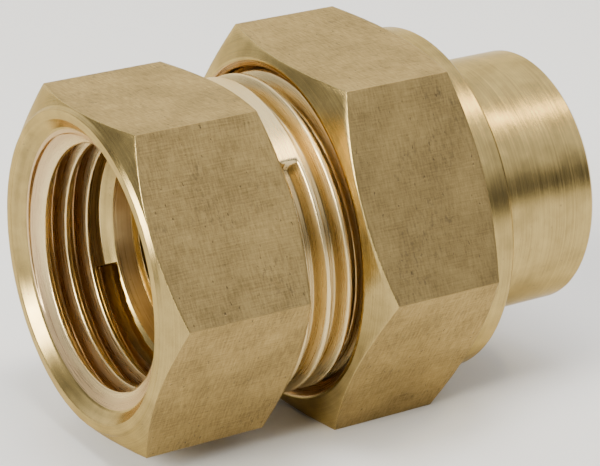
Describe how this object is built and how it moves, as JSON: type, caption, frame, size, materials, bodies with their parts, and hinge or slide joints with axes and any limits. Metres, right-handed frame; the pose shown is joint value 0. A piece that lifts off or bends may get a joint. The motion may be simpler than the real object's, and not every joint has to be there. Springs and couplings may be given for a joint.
{
  "type": "pipe union",
  "caption": "Brass pipe union with a hexagonal female threaded end, a hexagonal union nut and a plain tail for soldering onto tube.",
  "frame": {"origin": "centre of the whole union's bounding box, on the pipe axis", "axes": "+X along the pipe axis from the threaded mouth to the solder socket, +Z out of one flat of the female end's hexagon, +Y out of one of its corners"},
  "size_m": [0.0396, 0.032, 0.029],
  "materials": {
    "female_brass": "machined hexagon bar, drawn grain on the flats",
    "nut_brass": "machined hexagon bar, drawn grain on the flats",
    "tail_brass": "fine turned satin"
  },
  "bodies": {
    "tail": {"solder_tail": "tail_brass"},
    "nut": {"union_nut": "nut_brass"},
    "female_end": {"female_threaded_end": "female_brass"}
  },
  "joints": [
    {"name": "nut_turn", "type": "hinge", "parent": "tail", "child": "nut", "pos_m": [0, 0, 0], "axis": [1, 0, 0], "range_deg": [0, 1260]},
    {"name": "female_end_draw", "type": "slide", "parent": "tail", "child": "female_end", "axis": [-1, 0, 0], "range_m": [0, 0.00635]}
  ],
  "couplings": [
    {"joint": "female_end_draw", "follows": "nut_turn", "m_per_rad": 0.00028871}
  ]
}
